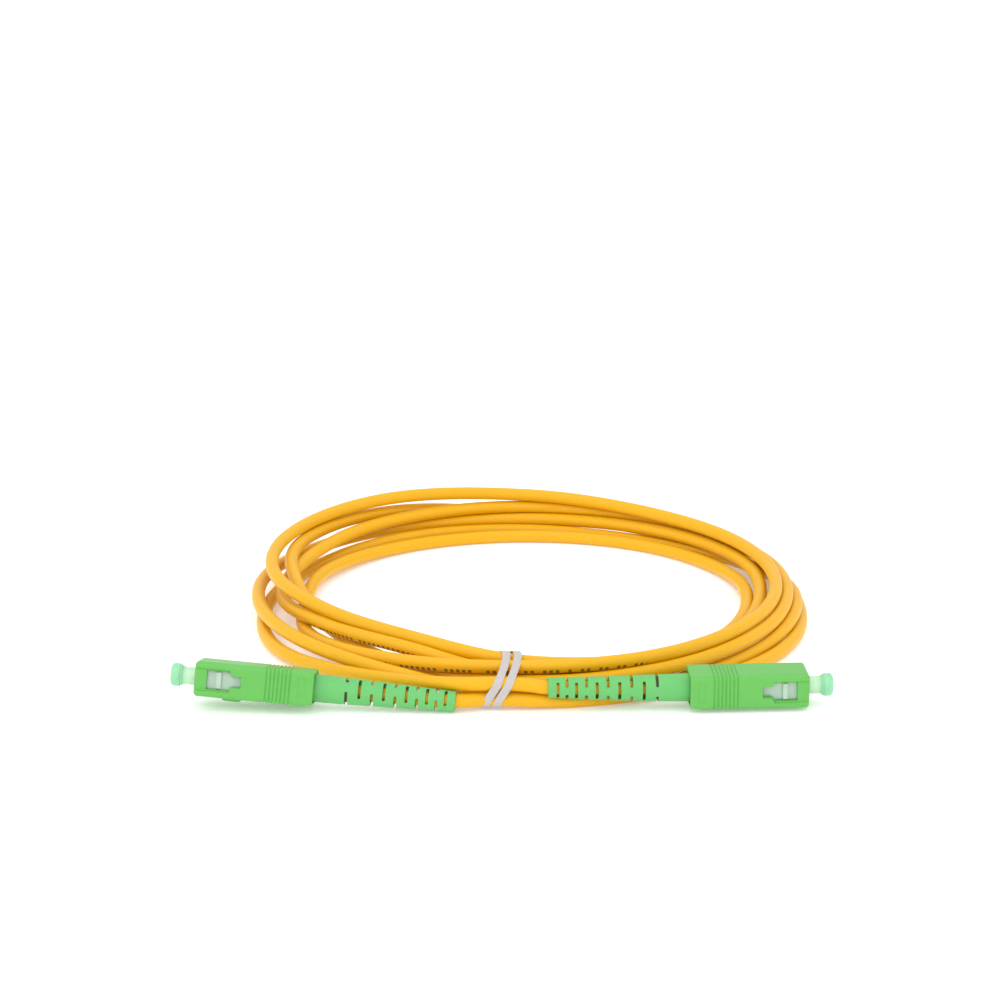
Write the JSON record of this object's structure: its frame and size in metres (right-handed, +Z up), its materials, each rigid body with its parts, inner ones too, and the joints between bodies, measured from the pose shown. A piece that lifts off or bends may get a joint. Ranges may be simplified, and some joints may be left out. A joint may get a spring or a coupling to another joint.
{
  "type": "fiber optic patch cord",
  "caption": "Coiled simplex fiber optic patch cord with an angled-polish push-pull plug, slotted boot and dust cap at each end, held by a twist tie.",
  "frame": {"origin": "bottom centre of the box round the two plugs, on the surface that the cord rests on", "axes": "+X to the right along the two plugs, +Y from the plugs towards the coil, +Z up"},
  "size_m": [0.1388, 0.1274, 0.0107],
  "materials": {
    "housing_green": "satin moulded plastic",
    "frame_white": "satin natural plastic",
    "ferrule_zirconia": "polished zirconia",
    "flange_nickel": "nickel plated brass",
    "spring_steel": "drawn stainless wire",
    "fibre_glass": "bare silica",
    "buffer_white": "smooth tight buffer",
    "stop_body_nickel": "nickel plated, turned",
    "aramid_yellow": "loose aramid filaments",
    "crimp_nickel": "nickel plated, crimped",
    "boot_green": "soft satin elastomer",
    "cap_mint": "translucent soft plastic",
    "cable_yellow": "satin PVC jacket",
    "tie_white": "soft plastic over a wire"
  },
  "bodies": {
    "cable_and_frames": {"plug_frame_left": "frame_white", "ferrule_spring_left": "spring_steel", "buffered_fibre_left": "buffer_white", "stop_body_left": "stop_body_nickel", "aramid_yarn_left": "aramid_yellow", "crimp_sleeve_left": "crimp_nickel", "strain_relief_boot_left": "boot_green", "plug_frame_right": "frame_white", "ferrule_spring_right": "spring_steel", "buffered_fibre_right": "buffer_white", "stop_body_right": "stop_body_nickel", "aramid_yarn_right": "aramid_yellow", "crimp_sleeve_right": "crimp_nickel", "strain_relief_boot_right": "boot_green", "cable_lead_left": "cable_yellow", "cable_lead_right": "cable_yellow", "cable_coil": "cable_yellow", "cable_tie": "tie_white"},
    "housing_left": {"outer_housing_left": "housing_green"},
    "ferrule_left": {"ferrule_left": "ferrule_zirconia", "ferrule_flange_left": "flange_nickel", "optical_fibre_left": "fibre_glass"},
    "cap_left": {"dust_cap_left": "cap_mint"},
    "housing_right": {"outer_housing_right": "housing_green"},
    "ferrule_right": {"ferrule_right": "ferrule_zirconia", "ferrule_flange_right": "flange_nickel", "optical_fibre_right": "fibre_glass"},
    "cap_right": {"dust_cap_right": "cap_mint"}
  },
  "joints": [
    {"name": "housing_left_slide", "type": "slide", "parent": "cable_and_frames", "child": "housing_left", "axis": [-0.9941, 0.0782, 0.075], "range_m": [-0.0016, 0]},
    {"name": "ferrule_left_press", "type": "slide", "parent": "cable_and_frames", "child": "ferrule_left", "axis": [-0.9941, 0.0782, 0.075], "range_m": [-0.0008, 0], "stiffness_N_per_m": 2000, "springref_m": 0.002, "deforming": ["ferrule_spring_left"]},
    {"name": "dust_cap_left_pull", "type": "slide", "parent": "ferrule_left", "child": "cap_left", "axis": [-0.9941, 0.0782, 0.075], "range_m": [0, 0.012]},
    {"name": "housing_right_slide", "type": "slide", "parent": "cable_and_frames", "child": "housing_right", "axis": [0.9981, 0.061, 0], "range_m": [-0.0016, 0]},
    {"name": "ferrule_right_press", "type": "slide", "parent": "cable_and_frames", "child": "ferrule_right", "axis": [0.9981, 0.061, 0], "range_m": [-0.0008, 0], "stiffness_N_per_m": 2000, "springref_m": 0.002, "deforming": ["ferrule_spring_right"]},
    {"name": "dust_cap_right_pull", "type": "slide", "parent": "ferrule_right", "child": "cap_right", "axis": [0.9981, 0.061, 0], "range_m": [0, 0.012]}
  ]
}
